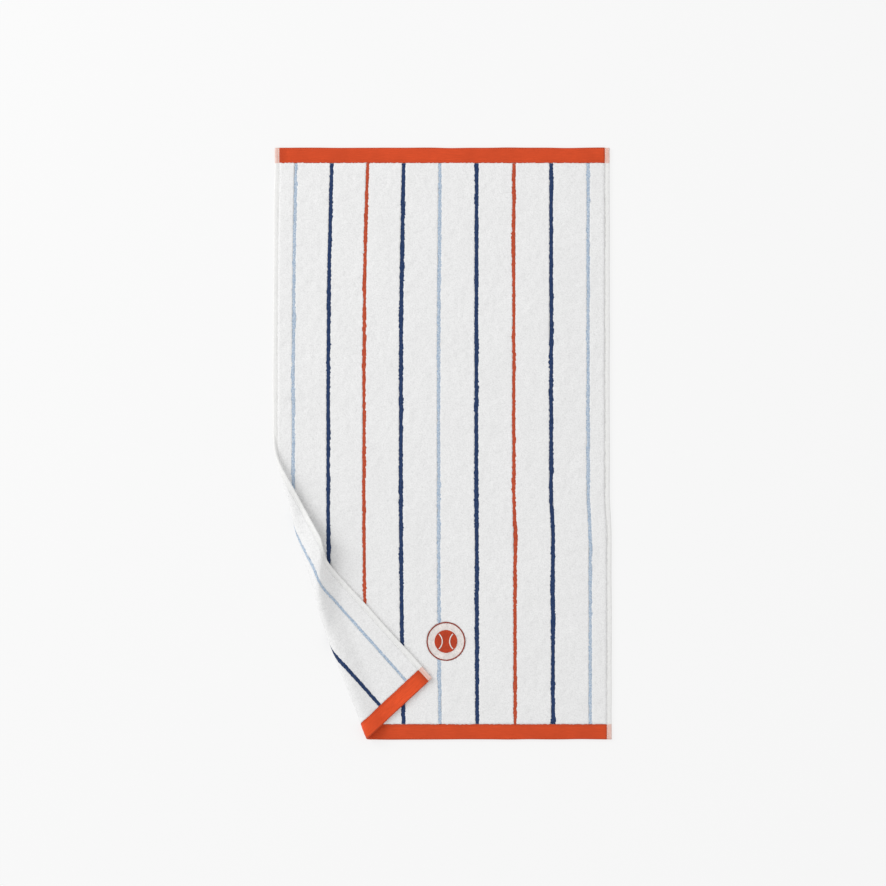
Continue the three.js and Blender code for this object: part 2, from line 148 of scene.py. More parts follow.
def roll(b, r, rest):
    """Where points at distance b past a fold line go, on a roll of radius r."""
    arc = b + math.pi * r / 2
    angle = np.clip(arc / r, 0, math.pi)
    past = np.maximum(0, arc - math.pi * r)
    top = NEUTRAL + r * (1 - np.cos(angle))
    drop = (NEUTRAL + 2 * r - rest) * smoothstep(past, 0, FLAP_DESCENT)
    out = np.where(arc <= 0, b, -math.pi * r / 2 + r * np.sin(angle) - past)
    return out, np.where(arc <= 0, NEUTRAL, top - drop)


def middle(u, v):
    """The middle of the cloth's thickness, in millimetres."""
    x = u + drift(u, v)
    along = (x - FOLD_START[0]) * CHORD[0] + (v - FOLD_START[1]) * CHORD[1] - BEND_ALONG
    across = (x - FOLD_START[0]) * OUTWARD[0] + (v - FOLD_START[1]) * OUTWARD[1] - BEND_OUT
    beyond = (across + np.hypot(across, RIDGE_SOFTNESS)) / 2
    crest = along + beyond * RIDGE_SLANT - RIDGE_SHIFT
    rise = RISE + RISE_SPREAD * beyond
    fall = FALL + FALL_SPREAD * beyond
    lift = np.clip(1 - np.where(crest < 0, -crest / rise, crest / fall), 0, 1)
    ridge = np.sin(math.pi / 2 * lift) ** 2
    near = smoothstep(crest / fall, KINK_FROM, KINK_TO)
    r = lerp(lerp(FAR_ROLL_RADIUS, NEAR_ROLL_RADIUS, near), RIDGE_ROLL_RADIUS, ridge)
    rest = lerp(FAR_REST, NEAR_REST, near) + RIDGE_HEIGHT * ridge
    places = []
    for turn in (FAR_LINE_TURN, -NEAR_LINE_TURN):
        cos, sin = math.cos(turn), math.sin(turn)
        a = along * cos + across * sin
        out, height = roll(across * cos - along * sin, r, rest)
        places.append(np.stack([a * cos - out * sin, a * sin + out * cos, height], -1))
    place = lerp(places[0], places[1], near[..., None])
    s = BEND_ALONG + place[..., 0]
    q = BEND_OUT + place[..., 1]
    return np.stack(
        [
            FOLD_START[0] + s * CHORD[0] + q * OUTWARD[0],
            FOLD_START[1] + s * CHORD[1] + q * OUTWARD[1],
            place[..., 2],
        ],
        -1,
    )


def unshifted(u, v, w):
    """Where the point (u, v, w) of the flat towel lies, before the frame's origin is applied."""
    step = 0.5
    across = middle(u + step, v) - middle(u - step, v)
    along = middle(u, v + step) - middle(u, v - step)
    up = np.cross(across, along)
    up /= np.linalg.norm(up, axis=-1, keepdims=True)
    return middle(u, v) + up * (w - NEUTRAL)[..., None]


# The frame's origin, found from the far hem, which lies flat.
hem_low, hem_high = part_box("top_hem")
FRAME_SHIFT = np.array(
    [
        hem_high.x / MM - PILE_HALF_WIDTH - drift(PILE_HALF_WIDTH, HALF_LENGTH),
        hem_high.y / MM - HALF_LENGTH,
        hem_low.z / MM,
    ]
)


def bend(u, v, w):
    """Where the point (u, v, w) of the flat towel lies in the frame, in metres."""
    u, v, w = (np.asarray(a, float) for a in np.broadcast_arrays(u, v, w))
    return (unshifted(u, v, w) + FRAME_SHIFT) * MM


# ---------------------------------------------------------------- meshes

def grid_faces(index, closed_rows=False):
    """Quads over a 2D array of vertex indices, which may join its last row to its first."""
    if closed_rows:
        index = np.vstack([index, index[:1]])
    a, b = index[:-1, :-1], index[1:, :-1]
    c, d = index[1:, 1:], index[:-1, 1:]
    return np.stack([a, b, c, d], -1).reshape(-1, 4)


def volume(points, faces):
    """The volume inside the faces, which is negative where they face inwards."""
    total = 0.0
    for face in faces:
        face = np.asarray(face)
        for i in range(1, face.shape[-1] - 1):
            a, b, c = (points[face[..., k]] for k in (0, i, i + 1))
            total += np.sum(a * np.cross(b, c)) / 6
    return total


def make_piece(name, points, faces, flat, material, node, caps=()):
    """A mesh piece that stands for a CAD node. flat is each point's place on the flat cloth."""
    points = np.asarray(points, float).reshape(-1, 3)
    every = [faces] + [np.asarray([cap]) for cap in caps]
    if volume(points, every) < 0:
        every = [f[:, ::-1] for f in every]
    mesh = bpy.data.meshes.new(name)
    mesh.from_pydata(points.tolist(), [], [row for f in every for row in f.tolist()])
    cloth_map = mesh.uv_layers.new(name="cloth")
    corner = np.zeros(len(mesh.loops), np.int32)
    mesh.loops.foreach_get("vertex_index", corner)
    flat = np.asarray(flat, float).reshape(-1, 2) * MM
    cloth_map.data.foreach_set("uv", flat[corner].astype(np.float32).ravel())
    mesh.shade_smooth()
    mesh.materials.append(material)
    piece = bpy.data.objects.new(name, mesh)
    bpy.context.scene.collection.objects.link(piece)
    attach(piece, "root")
    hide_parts(node)
    return piece


def slab(name, u, v, top, bottom, material, node, u_below=None):
    """A closed sheet between two heights over a grid of places on the flat cloth.

    u_below is its underside's places across the towel, where they aren't those of its top.
    """
    u_below = u if u_below is None else u_below
    rows, columns = u.shape
    upper = np.arange(u.size).reshape(rows, columns)
    lower = upper + u.size
    rim = np.concatenate(
        [upper[0, :-1], upper[:-1, -1], upper[-1, :0:-1], upper[:0:-1, 0]]
    )
    wall = grid_faces(np.stack([rim, rim + u.size], -1), closed_rows=True)
    faces = np.vstack([grid_faces(upper), grid_faces(lower)[:, ::-1], wall[:, ::-1]])
    points = np.concatenate([bend(u, v, top), bend(u_below, v, bottom)]).reshape(-1, 3)
    flat = np.tile(np.stack([u, v], -1).reshape(-1, 2), (2, 1))
    return make_piece(name, points, faces, flat, material, node)


def swept(name, u, v, height, material, node):
    """A closed bar: the arrays hold a closed profile's points by row and stations by column."""
    index = np.arange(u.size).reshape(u.shape)
    faces = grid_faces(index, closed_rows=True)
    caps = [index[::-1, 0], index[:, -1]]
    flat = np.stack([u, v], -1).reshape(-1, 2)
    points = bend(u, v, height)
    return make_piece(name, points, faces, flat, material, node, caps)


def threads(starts, ends, radius, flatness, arch, lay):
    """Points and faces of short rounded threads from starts to ends, bowed up by arch.

    lay turns places on the flat cloth into places in the frame.
    """
    shares = np.array([0.0, 0.12, 0.5, 0.88, 1.0])  # of the way along a thread
    swell = np.array([0.25, 0.8, 1.0, 0.8, 0.25])  # of its radius there
    angles = np.arange(6) * math.pi / 3
    starts, ends = np.asarray(starts, float), np.asarray(ends, float)
    run = ends - starts
    side = np.stack([-run[:, 1], run[:, 0]], -1)
    side /= np.linalg.norm(side, axis=-1, keepdims=True)
    centre = starts[:, None] + run[:, None] * shares[None, :, None]
    ring = centre[:, :, None].repeat(len(angles), 2)
    ring[..., :2] += (
        side[:, None, None] * (radius * swell)[None, :, None, None] * np.cos(angles)[None, None, :, None]
    )
    lift = flatness * radius * swell[:, None] * np.sin(angles)[None, :]
    ring[..., 2] += lift + (arch * 4 * shares * (1 - shares))[:, None]
    count = ring.shape[1] * ring.shape[2]
    one = np.arange(count).reshape(len(shares), len(angles))
    around = np.hstack([one, one[:, :1]])
    quads = grid_faces(around)
    ends_of_one = np.vstack([one[0, [0, 1, 2, 3]], one[0, [3, 4, 5, 0]]])
    far_ends = np.vstack([one[-1, [3, 2, 1, 0]], one[-1, [0, 5, 4, 3]]])
    template = np.vstack([quads, ends_of_one[:, ::-1], far_ends[:, ::-1]])
    faces = (template[None] + np.arange(len(starts))[:, None, None] * count).reshape(-1, 4)
    flat = ring.reshape(-1, 3)
    return lay(flat), faces, flat[:, :2]


def joined(parts):
    """Several (points, faces, flat) sets as one."""
    offset, points, faces, flats = 0, [], [], []
    for p, f, flat in parts:
        points.append(p)
        faces.append(f + offset)
        flats.append(flat)
        offset += len(p)
    return np.vstack(points), np.vstack(faces), np.vstack(flats)


def smooth_noise(count, spread, amount):
    """Random numbers along a line, smoothed over spread neighbours, of about the given size."""
    raw = rng.normal(size=count + 8 * spread)
    weights = np.exp(-0.5 * (np.arange(-3 * spread, 3 * spread + 1) / spread) ** 2)
    out = np.convolve(raw, weights / np.sqrt((weights**2).sum()), "same")
    return amount * out[4 * spread : 4 * spread + count]


def smooth_field(shape, spread, amount):
    """Random numbers over a grid, smoothed over spread neighbours, of about the given size."""
    field = rng.normal(size=shape)
    reach = int(3 * spread)
    weights = np.exp(-0.5 * (np.arange(-reach, reach + 1) / spread) ** 2)
    weights /= np.sqrt((weights**2).sum())
    for axis in (0, 1):
        field = np.apply_along_axis(np.convolve, axis, field, weights, "same")
    return amount * field.clip(-2.5, 2.5)


# ---------------------------------------------------------------- materials

class Shader:
    """A small helper that adds nodes to a material and links them."""

    def __init__(self, name):
        self.material = bpy.data.materials.new(name)
        self.material.use_nodes = True
        self.tree = self.material.node_tree
        self.surface = self.tree.nodes["Principled BSDF"]
        self.place = self.add("ShaderNodeTexCoord").outputs["Object"]
        self.cloth = self.add("ShaderNodeUVMap", uv_map="cloth").outputs["UV"]

    def add(self, kind, values=None, **settings):
        node = self.tree.nodes.new(kind)
        for key, value in settings.items():
            setattr(node, key, value)
        for key, value in (values or {}).items():
            if isinstance(value, bpy.types.NodeSocket):
                self.tree.links.new(value, node.inputs[key])
            else:
                node.inputs[key].default_value = value
        return node

    def noise(self, scale, detail=2.0, roughness=0.5, vector=None):
        values = {"Scale": scale, "Detail": detail, "Roughness": roughness}
        values["Vector"] = vector or self.place
        return self.add("ShaderNodeTexNoise", values).outputs["Fac"]

    def loops(self, scale):
        """Round loops side by side: 0 at each loop's top, rising towards the gaps."""
        values = {"Scale": scale, "Randomness": 0.85, "Vector": self.place}
        return self.add("ShaderNodeTexVoronoi", values).outputs["Distance"]

    def ribs(self, scale, direction, distortion=0.0):
        settings = {"wave_type": "BANDS", "bands_direction": direction}
        values = {"Scale": scale, "Distortion": distortion, "Vector": self.cloth}
        return self.add("ShaderNodeTexWave", values, **settings).outputs["Fac"]

    def math(self, operation, a, b):
        return self.add("ShaderNodeMath", {0: a, 1: b}, operation=operation).outputs[0]

    def fit(self, value, low, high, to_low, to_high):
        """The value, carried from low...high to to_low...to_high and held within it."""
        values = {"Value": value, "From Min": low, "From Max": high, "To Min": to_low, "To Max": to_high}
        return self.add("ShaderNodeMapRange", values).outputs["Result"]

    def mix(self, share, a, b):
        """Colour a, with a share of colour b."""
        node = self.add("ShaderNodeMix", data_type="RGBA")
        for socket, value in ((node.inputs[0], share), (node.inputs[6], a), (node.inputs[7], b)):
            if isinstance(value, bpy.types.NodeSocket):
                self.tree.links.new(value, socket)
            else:
                socket.default_value = value
        return node.outputs[2]

    def finish(self, colour, height, bump, distance, roughness, sheen):
        self.tree.links.new(colour, self.surface.inputs["Base Color"])
        self.tree.links.new(roughness, self.surface.inputs["Roughness"])
        bumped = self.add("ShaderNodeBump", {"Strength": bump, "Distance": distance, "Height": height})
        self.tree.links.new(bumped.outputs["Normal"], self.surface.inputs["Normal"])
        self.surface.inputs["Specular IOR Level"].default_value = 0.15
        self.surface.inputs["Sheen Weight"].default_value = sheen
        self.surface.inputs["Sheen Roughness"].default_value = 0.6
        self.surface.inputs["Sheen Tint"].default_value = (1, 1, 1, 1)
        return self.material


def shade(colour, factor):
    """A lighter or darker tone of a colour."""
    return tuple(c * factor for c in colour[:3]) + (1.0,)


def pile_material(name, colour, fleck, fleck_share, painted_gap_shade=0.72):
    """Terry loops with painted shade in the gaps between them, a little uneven in colour, with odd
    flecks.
    """
    s = Shader(name)
    coarse = s.loops(520)
    fine = s.loops(1150)
    patches = s.noise(14, 3)
    tufts = s.noise(210, 2)
    yarn = s.noise(900, 2)
    depth = s.math("ADD", s.math("MULTIPLY", coarse, 0.65), s.math("MULTIPLY", fine, 0.35))
    flecks = s.fit(s.noise(420, 2), 0.62 - 0.3 * fleck_share, 0.74 - 0.3 * fleck_share, 0, fleck_share)
    base = s.mix(s.fit(patches, 0.35, 0.65, 0, 1), shade(colour, 0.975), shade(colour, 1.015))
    base = s.mix(s.fit(tufts, 0.35, 0.65, 0.5, 0), base, shade(colour, 0.95))
    base = s.mix(flecks, base, fleck)
    # painted shade in the gaps between the loops
    base = s.mix(s.fit(depth, 0.3, 0.8, 0, 1), base, shade(colour, painted_gap_shade))
    height = s.math("ADD", s.math("MULTIPLY", depth, -1.0), s.math("MULTIPLY", yarn, 0.5))
    return s.finish(base, height, 0.55, 0.0007, s.fit(yarn, 0.3, 0.7, 0.88, 1.0), 0.12)


# Left of the first of these the bottom hem is turned over and is drawn in a brighter tone of its orange,
# and right of the second in its usual tone.
BRIGHT_HEM_TO = -122.0
PLAIN_HEM_FROM = BRIGHT_HEM_TO + 10


def band_material(name, colour):
    """Plain ribbed weave: fine yarns both ways, some a little darker, with painted shade in the gaps of
    the weave, along both edges and at the left end.
    """
    s = Shader(name)
    place = s.add("ShaderNodeSeparateXYZ", {"Vector": s.cloth}).outputs
    from_inner = s.math("SUBTRACT", s.math("ABSOLUTE", place["Y"], 0.0), HEM_INNER_LENGTH * MM)
    # painted shade: darker along the groove at the inner seam and round the outer fold
    inner_groove_shade = s.fit(from_inner, 0.6 * MM, 1.9 * MM, 1, 0)
    outer_fold_shade = s.fit(from_inner, 20.8 * MM, 22.6 * MM, 0, 1)
    # painted shade at each band's left end, where the side hem overlaps it
    painted_end_shade = s.fit(place["X"], -(PILE_HALF_WIDTH - 1) * MM, -(PILE_HALF_WIDTH - 13) * MM, 0.85, 0)
    painted_edge_shade = s.math("MAXIMUM", s.math("MAXIMUM", inner_groove_shade, outer_fold_shade), painted_end_shade)
    weft = s.ribs(560, "X", 0.6)
    warp = s.ribs(430, "Y", 0.6)
    stretched = s.add("ShaderNodeMapping", {"Vector": s.cloth, "Scale": (55, 900, 1)}).outputs[0]
    slubs = s.noise(1.0, 3, 0.6, stretched)
    patches = s.noise(22, 3)
    weave = s.math("MULTIPLY", weft, warp)
    at_fold = s.fit(place["X"], BRIGHT_HEM_TO * MM, PLAIN_HEM_FROM * MM, 1, 0)
    bright_hem = s.math("MULTIPLY", at_fold, s.fit(place["Y"], -0.1, 0.1, 1, 0))
    even = s.fit(patches, 0.3, 0.7, 0, 1)
    # face is the hem's usual tone, and back a brighter one for where it is turned over
    face = s.mix(even, shade(colour, 0.88), shade(colour, 1.10))
    back = s.mix(even, shade(colour, 1.14), shade(colour, 1.42))
    base = s.mix(bright_hem, face, back)
    base = s.mix(s.fit(slubs, 0.35, 0.75, 0, 0.8), base, shade(colour, 0.74))
    # painted shade in the gaps between the yarns, where the weave is low
    base = s.mix(s.fit(weave, 0, 0.5, 0.45, 0), base, shade(colour, 0.62))
    # mixes in the painted shade along both edges and at the left end
    base = s.mix(s.math("MULTIPLY", painted_edge_shade, 0.8), base, shade(colour, 0.58))
    height = s.math("ADD", s.math("MULTIPLY", weave, 0.8), s.math("MULTIPLY", slubs, 0.4))
    return s.finish(base, height, 0.5, 0.0003, s.fit(slubs, 0.3, 0.7, 0.72, 0.88), 0.06)


def side_hem_material(name, colour, crossing):
    """White plain weave, tinted where it crosses the coloured bands at the towel's ends."""
    s = Shader(name)
    weft = s.ribs(430, "X", 0.6)
    warp = s.ribs(520, "Y", 0.6)
    weave = s.math("MULTIPLY", weft, warp)
    soft = s.noise(260, 3)
    place = s.add("ShaderNodeSeparateXYZ", {"Vector": s.cloth}).outputs
    edge = s.math("ADD", s.math("ABSOLUTE", place["Y"], 0.0), s.math("MULTIPLY", soft, 0.0025))
    outwards = s.math("ADD", s.math("ABSOLUTE", place["X"], 0.0), s.math("MULTIPLY", soft, 0.002))
    faded = s.fit(outwards, (HEM_INNER_WIDTH + 1.5) * MM, (HEM_INNER_WIDTH + 7.5) * MM, 0, 1)
    dyed = s.mix(faded, crossing, s.mix(0.55, crossing, colour))
    crossed = s.fit(edge, (HEM_INNER_LENGTH + 0.4) * MM, (HEM_INNER_LENGTH + 2.2) * MM, 0, 1)
    base = s.mix(s.fit(soft, 0.3, 0.7, 0, 1), shade(colour, 0.95), shade(colour, 1.02))
    base = s.mix(crossed, base, s.mix(s.fit(soft, 0.35, 0.65, 0, 0.5), dyed, shade(crossing, 0.86)))
    # painted shade in the gaps between the yarns, where the weave is low
    base = s.mix(s.fit(weave, 0, 0.5, 0.18, 0), base, shade(colour, 0.6))
    height = s.math("ADD", weave, s.math("MULTIPLY", soft, 0.6))
    return s.finish(base, height, 0.4, 0.0003, s.fit(soft, 0.3, 0.7, 0.82, 0.95), 0.08)


def thread_material(name, colour):
    """Twisted sewing or embroidery yarn, smoother than the pile."""
    s = Shader(name)
    twist = s.noise(1500, 2)
    patches = s.noise(160, 2)
    base = s.mix(s.fit(patches, 0.3, 0.7, 0, 1), shade(colour, 0.86), shade(colour, 1.08))
    # painted shade in the grooves of the twist, where it is low
    base = s.mix(s.fit(twist, 0.35, 0.7, 0.35, 0), base, shade(colour, 0.7))
    return s.finish(base, twist, 0.35, 0.0002, s.fit(twist, 0.3, 0.7, 0.5, 0.68), 0.1)


WHITE = (0.91, 0.91, 0.91, 1)
MATERIALS = {
    "terry": pile_material("terry_white", WHITE, shade(WHITE, 0.93), 0.45, painted_gap_shade=0.84),
    "light_blue": pile_material(
        "terry_light_blue", (0.40, 0.53, 0.70, 1), (0.68, 0.74, 0.80, 1), 0.75
    ),
    "navy": pile_material("terry_navy", (0.017, 0.045, 0.140, 1), (0.045, 0.09, 0.22, 1), 0.5, 0.5),
    "orange": pile_material("terry_orange", (0.58, 0.078, 0.028, 1), (0.70, 0.16, 0.08, 1), 0.5, 0.6),
    "hem_band": band_material("band_orange", (0.80, 0.088, 0.022, 1)),
    "side_hem": side_hem_material("side_hem_white", (0.91, 0.91, 0.90, 1), (0.86, 0.44, 0.34, 1)),
    "orange_thread": thread_material("thread_orange", (0.52, 0.062, 0.020, 1)),
    "white_thread": thread_material("thread_white", (0.88, 0.88, 0.87, 1)),
    "emblem_pale": thread_material("emblem_pale", (0.95, 0.89, 0.86, 1)),
    "emblem_red": thread_material("emblem_red", (0.60, 0.062, 0.016, 1)),
    "emblem_dark": thread_material("emblem_dark_red", (0.34, 0.040, 0.016, 1)),
}

# ---------------------------------------------------------------- terry cloth

TONGUE_HALF_WIDTH = 248.4  # the bare ground weave that runs on inside the hems
TONGUE_HALF_LENGTH = 439.9
TONGUE_BOTTOM = 1.6
TONGUE_TOP = 2.1
TONGUE_GAP = 0.4  # between the last loops and the place where the weave is down to the tongue
PILE_BOTTOM = 0.45
GROOVE_TOP = 3.2  # the ground under a stripe's loops
GROOVE_BOTTOM = 1.4
GROOVE_INSET = 0.4  # how far the pile runs in over a stripe's edge
GROOVE_WALL = 0.5
SWELL = 0.22  # height of the slow waves in the pile
CLUMP_HEIGHT = 0.16
CLUMP_SPREAD = 1.6  # in steps of the mesh
LOOP_JITTER = 0.45  # how far loops wander on the cloth
EDGE_JITTER = 1.2  # times that, at the pile's outer edge
EDGE_DROP = 0.8  # the outermost loops lean down to the hem
POCKET_TOP = 3.0  # pile under the emblem


def spaced(low, high, step):
    return np.linspace(low, high, max(2, int(round((high - low) / step)) + 1))


def pile_columns():
    """Places across the towel, with a narrow groove under each stripe."""
    stops = [-PILE_HALF_WIDTH]
    for _, _, centre, half in STRIPES:
        stops += [centre - half + GROOVE_INSET, centre + half - GROOVE_INSET]
    stops.append(PILE_HALF_WIDTH)
    columns = [np.array([-TONGUE_HALF_WIDTH, -PILE_HALF_WIDTH - TONGUE_GAP])]
    for low, high in zip(stops[::2], stops[1::2]):
        columns.append(spaced(low, high, PILE_STEP))
        if high < PILE_HALF_WIDTH:
            columns.append(np.array([high + GROOVE_WALL]))
            width = next(2 * half for _, _, centre, half in STRIPES if centre > high)
            columns.append(np.array([high + width - 2 * GROOVE_INSET - GROOVE_WALL]))
    columns.append(np.array([PILE_HALF_WIDTH + TONGUE_GAP, TONGUE_HALF_WIDTH]))
    return np.concatenate(columns)


def pile_rows():
    """Places along the towel."""
    return np.concatenate(
        [
            [-TONGUE_HALF_LENGTH, -PILE_HALF_LENGTH - TONGUE_GAP],
            spaced(-PILE_HALF_LENGTH, PILE_HALF_LENGTH, PILE_STEP),
            [PILE_HALF_LENGTH + TONGUE_GAP, TONGUE_HALF_LENGTH],
        ]
    )


def under_emblem(u, v):
    """Where the emblem holds the pile down."""
    return np.hypot(u + drift(u, v) - EMBLEM_X, v - EMBLEM_Y) < EMBLEM_RADIUS - 0.5


def build_terry():
    v, u = np.meshgrid(pile_rows(), pile_columns(), indexing="ij")
    in_pile = (np.abs(u) <= PILE_HALF_WIDTH) & (np.abs(v) <= PILE_HALF_LENGTH)
    in_groove = np.zeros(u.shape, bool)
    for _, _, centre, half in STRIPES:
        in_groove |= np.abs(u - centre) < half - GROOVE_INSET - GROOVE_WALL / 2
    at_side = in_pile & (np.abs(u) > PILE_HALF_WIDTH - 0.01)
    at_end = in_pile & (np.abs(v) > PILE_HALF_LENGTH - 0.01)
    swell = SWELL * np.sin(u / 21 + 1.3 * np.sin(v / 47)) * np.sin(v / 33 + 0.8 * np.sin(u / 29))
    clumps = [smooth_field(u.shape, CLUMP_SPREAD, CLUMP_HEIGHT) for _ in range(2)]
    top = PILE_THICKNESS + swell + clumps[0] + LOOP_HEIGHT * rng.normal(size=u.shape).clip(-2, 2)
    bottom = PILE_BOTTOM + clumps[1].clip(-0.1) + LOOP_HEIGHT * rng.normal(size=u.shape).clip(-1.7, 2)
    top[at_side | at_end] -= EDGE_DROP
    bottom[at_side | at_end] += EDGE_DROP * 0.25
    top[in_groove], bottom[in_groove] = GROOVE_TOP, GROOVE_BOTTOM
    top[under_emblem(u, v)] = POCKET_TOP
    top[~in_pile], bottom[~in_pile] = TONGUE_TOP, TONGUE_BOTTOM
    jitter = LOOP_JITTER * rng.normal(size=(2, *u.shape)).clip(-1.5, 2)
    outwards = np.abs(jitter) * EDGE_JITTER
    near_side = np.abs(u) > PILE_HALF_WIDTH - PILE_STEP
    near_end = np.abs(v) > PILE_HALF_LENGTH - PILE_STEP
    loose = in_pile & ~near_side & ~near_end & ~in_groove
    u = u + np.where(at_side, np.sign(u) * outwards[0], np.where(loose, jitter[0], 0))
    v = v + np.where(at_end, np.sign(v) * outwards[1], np.where(loose, jitter[1], 0))
    return slab("terry_pile", u, v, top, bottom, MATERIALS["terry"], "terry_cloth")


# ---------------------------------------------------------------- stripes

STRIPE_OVERLAP = 0.12  # how far its loops lean out over the pile on either side
STRIPE_RAISE = 0.28  # how far they stand above the white ones
STRIPE_BOTTOM = 0.22
STRIPE_TAPER = 0.45  # how much less each side reaches on the underside
ROUND_OFF = 0.55


def build_stripe(name, colour, centre, half):
    """A band of dyed loops through the towel, ragged at both edges and swaying a little."""
    rows = spaced(-PILE_HALF_LENGTH + 0.1, PILE_HALF_LENGTH - 0.1, STRIPE_STEP)
    shares = np.linspace(-1, 1, 6)
    v, share = np.meshgrid(rows, shares, indexing="ij")
    ragged = [smooth_noise(len(rows), 1, 0.34) + smooth_noise(len(rows), 7, 0.20) for _ in range(2)]
    reach = half + STRIPE_OVERLAP + np.where(share < 0, ragged[0][:, None], ragged[1][:, None])
    sway = smooth_noise(len(rows), 14, 0.30)
    u = centre + sway[:, None] + share * reach
    u_below = centre + sway[:, None] + share * (reach - STRIPE_TAPER)
    round_off = ROUND_OFF * np.abs(share) ** 5
    loops = LOOP_HEIGHT * rng.normal(size=u.shape).clip(-2, 2)
    top = PILE_THICKNESS + STRIPE_RAISE - round_off + loops
    bottom = STRIPE_BOTTOM + round_off + LOOP_HEIGHT * np.abs(rng.normal(size=u.shape)).clip(0, 2) * 0.8
    top[under_emblem(u, v)] = POCKET_TOP + 0.1
    at_end = np.abs(v) > PILE_HALF_LENGTH - 0.2
    top[at_end] -= EDGE_DROP * 0.8
    bottom[at_end] += 0.5
    return slab(f"pile_{name}", u, v, top, bottom, MATERIALS[colour], name, u_below)


# ---------------------------------------------------------------- hems

END_RIB_PITCH = 1.15
PILLOW = 0.55  # how far a hem's middle stands out past its edges
END_STITCH_AT = 3.0  # from the hem's inner edge
SIDE_STITCH_AT = 1.5


def hem_profile(width, seam_at, rib_pitch, rib_height):
    """A closed profile: distances from the inner edge and heights, round at the outer fold."""
    radius = HEM_THICKNESS / 2
    count = int(round((width - radius - 0.5) / rib_pitch))
    across = np.linspace(0.5, width - radius, 2 * count + 1)
    ripple = rib_height * np.cos(np.arange(2 * count + 1) * math.pi)
    seam = 0.4 * np.exp(-(((across - seam_at) / 0.8) ** 2))
    top = np.stack([across, HEM_THICKNESS + ripple - seam], -1)
    bottom = np.stack([across[::-1], 0.12 + np.maximum(0, -ripple[::-1]) + 0.6 * seam[::-1]], -1)
    angles = np.linspace(math.pi / 2, -math.pi / 2, 7)[1:-1]
    fold = np.stack([width - radius + radius * np.cos(angles), radius + radius * np.sin(angles)], -1)
    inner = np.array([[-0.5, 1.0], [-0.7, 1.8], [-0.5, 2.7]])
    return np.vstack([top, fold, bottom, inner])


def turned_over(u, v):
    """1 where the cloth lies upside down on itself, 0 where it lies flat."""
    return smoothstep(middle(u, v)[..., 2], 6.0, 12.0)


def pillow(distance, width, u, v, height):
    """Fills out a hem between its edges: on its face, and on its back where that lies uppermost."""
    bulge = PILLOW * np.clip(1 - (2 * distance / width - 1) ** 2, 0, 1)
    face = np.where(height > HEM_THICKNESS / 2, bulge, 0)
    back = np.where(height < HEM_THICKNESS / 2, bulge, 0) * turned_over(u, v)
    return height + face - back


def build_end_hem(name, side):
    """A folded, ribbed orange band at one end of the towel."""
    profile = hem_profile(END_HEM_WIDTH, END_STITCH_AT, END_RIB_PITCH, 0.07)
    stations = spaced(-PILE_HALF_WIDTH - 0.15, PILE_HALF_WIDTH + 0.15, HEM_STEP)
    distance, u = np.meshgrid(profile[:, 0], stations, indexing="ij")
    height = profile[:, 1][:, None] + 0 * u
    waver = smooth_noise(len(stations), 5, 0.22)
    v = side * (HEM_INNER_LENGTH + distance + waver * distance / END_HEM_WIDTH)
    puff = 1 + 0.035 * smooth_noise(len(stations), 3, 1.0)
    height = np.maximum(0.05, HEM_THICKNESS / 2 + (height - HEM_THICKNESS / 2) * puff)
    height = pillow(distance, END_HEM_WIDTH, u, v, height)
    at_tips = np.abs(u) > PILE_HALF_WIDTH - 0.5
    height = np.where(at_tips, HEM_THICKNESS / 2 + (height - HEM_THICKNESS / 2) * 0.86, height)
    return swept(f"{name}_band", u, v, height, MATERIALS["hem_band"], name)


def build_side_hem(name, side):
    """A folded white edge along one side of the towel, puckered at each stitch."""
    profile = hem_profile(SIDE_HEM_WIDTH, SIDE_STITCH_AT, 1.0, 0.05)
    stations = spaced(-HALF_LENGTH + 0.2, HALF_LENGTH - 0.2, HEM_STEP)
    distance, v = np.meshgrid(profile[:, 0], stations, indexing="ij")
    waver = smooth_noise(len(stations), 6, 0.2)
    u = side * (HEM_INNER_WIDTH + distance + waver * distance / SIDE_HEM_WIDTH)
    from_seam = profile[:, 0][:, None] - SIDE_STITCH_AT
    pucker = 0.10 * np.cos(2 * math.pi * stations / STITCH_PITCH) * np.exp(-((from_seam / 2) ** 2))
    puff = 1 + 0.04 * smooth_noise(len(stations), 3, 1.0)
    height = HEM_THICKNESS / 2 + (profile[:, 1][:, None] - HEM_THICKNESS / 2) * puff
    height = np.maximum(0.05, height + np.where(profile[:, 1][:, None] > 2, pucker, 0))
    at_tips = np.abs(v) > HALF_LENGTH - 0.6
    height = np.where(at_tips, HEM_THICKNESS / 2 + (height - HEM_THICKNESS / 2) * 0.8, height)
    return swept(f"{name}_cloth", u, v, height, MATERIALS["side_hem"], name)


def seam_threads(reach, over_u, at):
    """A lockstitch row: one thread on the face and one on the back, stitch by stitch."""
    count = int(2 * reach / STITCH_PITCH)
    begin = (2 * reach - count * STITCH_PITCH) / 2 - reach + np.arange(count) * STITCH_PITCH + 0.25
    parts = []
    for height, arch in ((HEM_THICKNESS - 0.42, 0.22), (0.32, -0.10)):
        wobble = rng.normal(size=count) * 0.07
        first = np.stack([begin, at + wobble, np.full(count, height)], -1)
        last = first + np.array([STITCH_LENGTH, 0, 0])
        last[:, 1] += rng.normal(size=count) * 0.08
        if not over_u:
            first, last = first[:, [1, 0, 2]], last[:, [1, 0, 2]]
        parts.append(threads(first, last, STITCH_RADIUS, 0.75, arch, lambda p: bend(*p.T)))
    return joined(parts)


